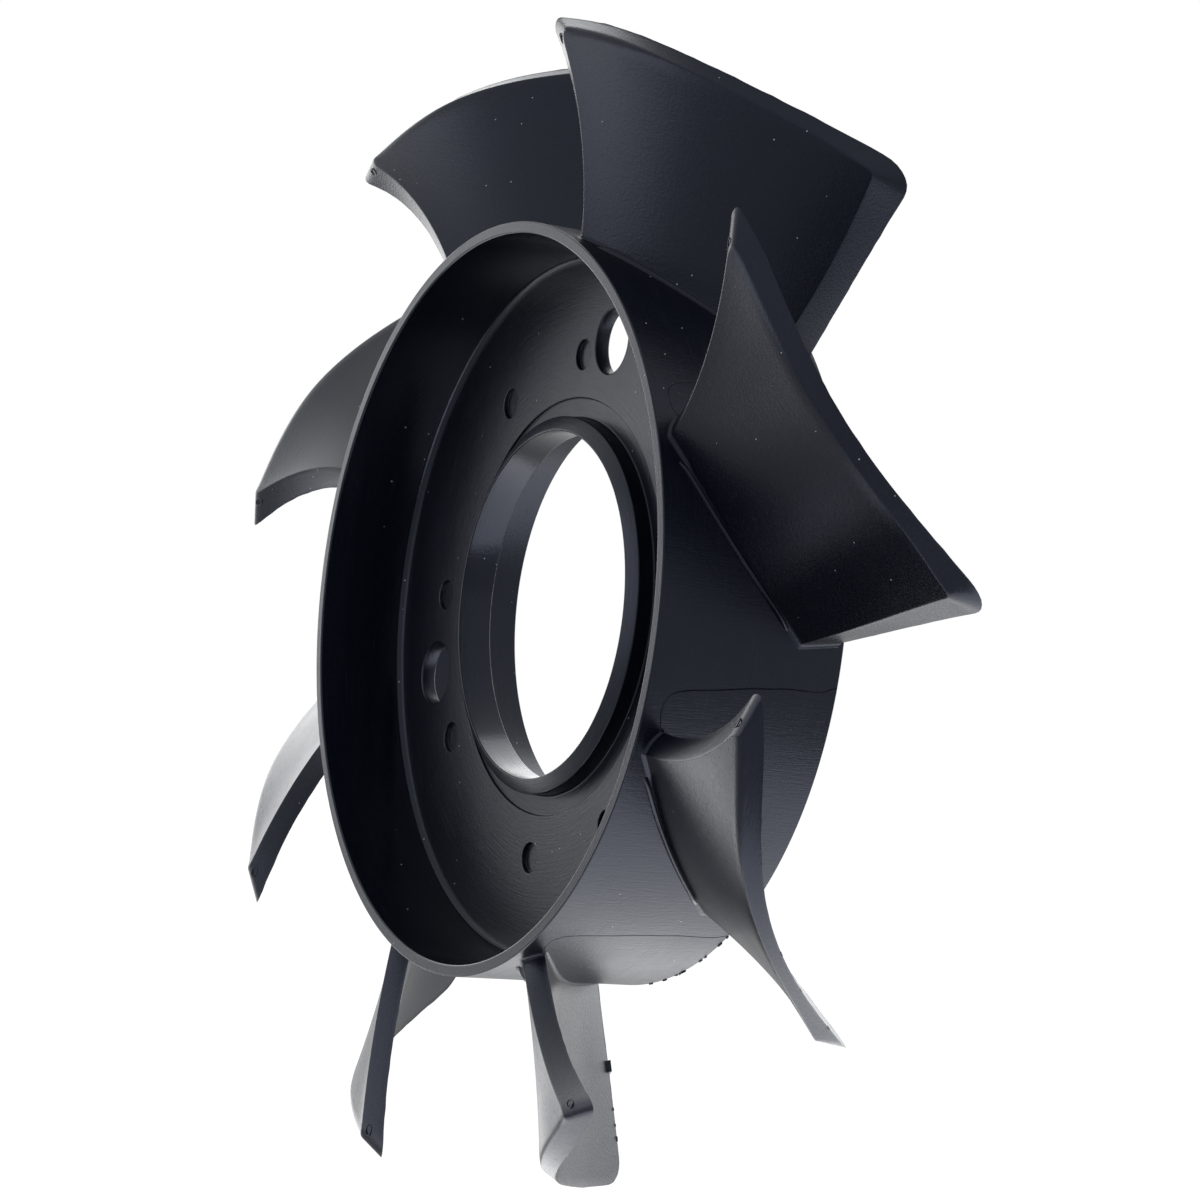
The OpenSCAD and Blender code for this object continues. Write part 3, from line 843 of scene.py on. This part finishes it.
def shade(obj):
    """Smooth shading with creases at sharp edges, and exact normals on the drum's outside and the flats."""
    mesh = obj.data
    bm = bmesh.new()
    bm.from_mesh(mesh)
    for edge in bm.edges:
        edge.smooth = len(edge.link_faces) == 2 and edge.calc_face_angle() < math.radians(CREASE)
    for face in bm.faces:
        face.smooth = True
    bm.to_mesh(mesh)
    bm.free()
    count = len(mesh.loops)
    normals = np.zeros(count * 3, np.float32)
    mesh.corner_normals.foreach_get("vector", normals)
    normals = normals.reshape(-1, 3)
    places = np.array([v.co for v in mesh.vertices])
    corner_place = places[np.array([loop.vertex_index for loop in mesh.loops])]
    face_normal = np.zeros((count, 3))
    for p in mesh.polygons:
        face_normal[p.loop_start:p.loop_start + p.loop_total] = p.normal
    radial = corner_place * (1, 0, 1)
    r = np.linalg.norm(radial, axis=1, keepdims=True)
    radial /= np.maximum(r, 1e-9)
    on_drum = (abs(r[:, 0] - DRUM_R * MM) < DRUM_SLACK) & ((face_normal * radial).sum(1) > FACES_OUT)
    normals[on_drum] = radial[on_drum]
    on_web = abs(face_normal[:, 1]) > FACES_ALONG
    normals[on_web] = face_normal[on_web]
    mesh.normals_split_custom_set([tuple(x) for x in normals])


def softbox(name, place, aim, size, brightness):
    """A round soft lamp that shines from its place along aim. It is only mirrored, so that colours stay as
    written."""
    lamp = bpy.data.lights.new(name, "AREA")
    lamp.shape = "DISK"
    lamp.size = size
    lamp.energy = brightness * math.pi**2 * (size / 2)**2
    obj = bpy.data.objects.new(name, lamp)
    obj.visible_diffuse = False
    obj.matrix_world = Matrix.Translation(place) @ aim.to_track_quat("-Z", "Y").to_matrix().to_4x4()
    bpy.context.scene.collection.objects.link(obj)


# The wheel. The blades keep a fine grain, and the turned hub shows its tooling.
MOULDED = nylon("glass-filled nylon, moulded", tooling=0.12, grain=1.0, gloss=0.25)
TURNED = nylon("glass-filled nylon, turned mould", tooling=1.0, grain=0.6, gloss=0.3)

repeat = around_axis_tree()
wheel = make_hub()
wheel.data.materials.append(TURNED)
blades = around_axis(make_blade(), repeat, MOULDED, FLASH)
ribs = around_axis(make_root_rib(), repeat, MOULDED)
combine(wheel, blades)
combine(wheel, ribs)
combine(wheel, around_axis(make_pin_ring(), repeat, MOULDED))
combine(wheel, around_axis(make_witness_line(), repeat, TURNED), "DIFFERENCE")
combine(wheel, make_scraps())
shade(wheel)
wheel.name = "fan_wheel_moulding"
wheel.data.name = "fan_wheel_moulding"
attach(wheel, "root")
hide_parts("fan_wheel")

# Camera: the photograph's view, from 61.4 degrees round the axis, level, rolled by 6.4 degrees
AZIMUTH, ROLL = math.radians(61.3935), math.radians(6.3554)
DISTANCE = 8.6356 * DRUM_R * MM
FOCAL_PX = 3263.3
FRAME_PX = 1200
RIM_PX = (472.666, 596.895)
SENSOR_MM = 36
CLIP_START_M = 0.05
back = Vector((math.sin(AZIMUTH), -math.cos(AZIMUTH), 0))
level_right = Vector((math.cos(AZIMUTH), math.sin(AZIMUTH), 0))
right = level_right * math.cos(ROLL) + Vector((0, 0, 1)) * math.sin(ROLL)
up = back.cross(right)
rim_centre = Vector((0, RIM_Y * MM, 0))
shift_x, shift_y = ((p - FRAME_PX / 2) / FOCAL_PX * DISTANCE for p in RIM_PX)
eye = rim_centre + back * DISTANCE - right * shift_x + up * shift_y
camera = bpy.data.objects.new("camera", bpy.data.cameras.new("camera"))
bpy.context.scene.collection.objects.link(camera)
camera.data.sensor_width = SENSOR_MM
camera.data.lens = FOCAL_PX / FRAME_PX * SENSOR_MM
camera.data.clip_start = CLIP_START_M
camera.matrix_world = Matrix.Translation(eye) @ Matrix((right, up, back)).transposed().to_4x4()
bpy.context.scene.camera = camera
bpy.context.scene.view_settings.view_transform = "Standard"

# Studio: a white surround that the plastic mirrors, a little dimmer where it only lights
LIGHTING_LEVEL = 0.9
world = bpy.data.worlds.new("white surround")
bpy.context.scene.world = world
world.use_nodes = True
sky = world.node_tree
sky.nodes.clear()
rays = add(sky, "ShaderNodeLightPath").outputs
seen = add(sky, "ShaderNodeMath", {
    0: rays["Is Camera Ray"], 1: rays["Is Glossy Ray"]}, operation="MAXIMUM").outputs[0]
level = add(sky, "ShaderNodeMapRange", {"Value": seen, "To Min": LIGHTING_LEVEL, "To Max": 1.0}).outputs[0]
surround = add(sky, "ShaderNodeBackground", {"Color": linear("#ffffff"), "Strength": level}).outputs[0]
add(sky, "ShaderNodeOutputWorld", {"Surface": surround})

# A pale paper floor below the wheel, which glows a little for the camera so that it fades into the surround
FLOOR_Z = -0.2
FLOOR_HALF = 4
FLOOR_GLOW = 0.3
FLOOR_CORNERS = [(x * FLOOR_HALF, y * FLOOR_HALF, FLOOR_Z) for x, y in ((-1, -1), (1, -1), (1, 1), (-1, 1))]
floor = mesh_object("floor", FLOOR_CORNERS, [(0, 1, 2, 3)])
paper = bpy.data.materials.new("white paper floor")
paper.use_nodes = True
sheet = paper.node_tree
sheet.nodes.clear()
lit = add(sheet, "ShaderNodeBsdfDiffuse", {"Color": linear("#ececec")}).outputs[0]
rays = add(sheet, "ShaderNodeLightPath").outputs
glow_level = add(sheet, "ShaderNodeMath", {
    0: rays["Is Camera Ray"], 1: FLOOR_GLOW}, operation="MULTIPLY").outputs[0]
glow = add(sheet, "ShaderNodeEmission", {"Strength": glow_level}).outputs[0]
both = add(sheet, "ShaderNodeAddShader", {0: lit, 1: glow}).outputs[0]
add(sheet, "ShaderNodeOutputMaterial", {"Surface": both})
floor.data.materials.append(paper)

# Softboxes, each an angle round from the camera towards its right, a height angle and a brightness against
# the white surround, and their size and distance from the wheel in metres
SOFTBOXES = [(180, 45, 2.2), (120, 10, 1.8), (160, 10, 1.6), (-155, 5, 2.0), (-125, 2, 0.9), (-78, 0, 2.0)]
SOFTBOX_M = 1.2
SOFTBOX_AWAY_M = 1.4
for around, height, brightness in SOFTBOXES:
    around, height = math.radians(around), math.radians(height)
    outward = level_right * math.sin(around) + back * math.cos(around)
    outward = outward * math.cos(height) + Vector((0, 0, math.sin(height)))
    softbox("softbox", outward * SOFTBOX_AWAY_M, -outward, SOFTBOX_M, brightness)

# Lit patches just above the floor, as places, widths and brightness
LIGHT_TABLES = [((0.1, 0.07, -0.195), 0.42, 2.9), ((-0.4, -0.08, -0.195), 0.4, 2.4)]
for place, size, brightness in LIGHT_TABLES:
    softbox("light table", Vector(place), Vector((0, 0, 1)), size, brightness)
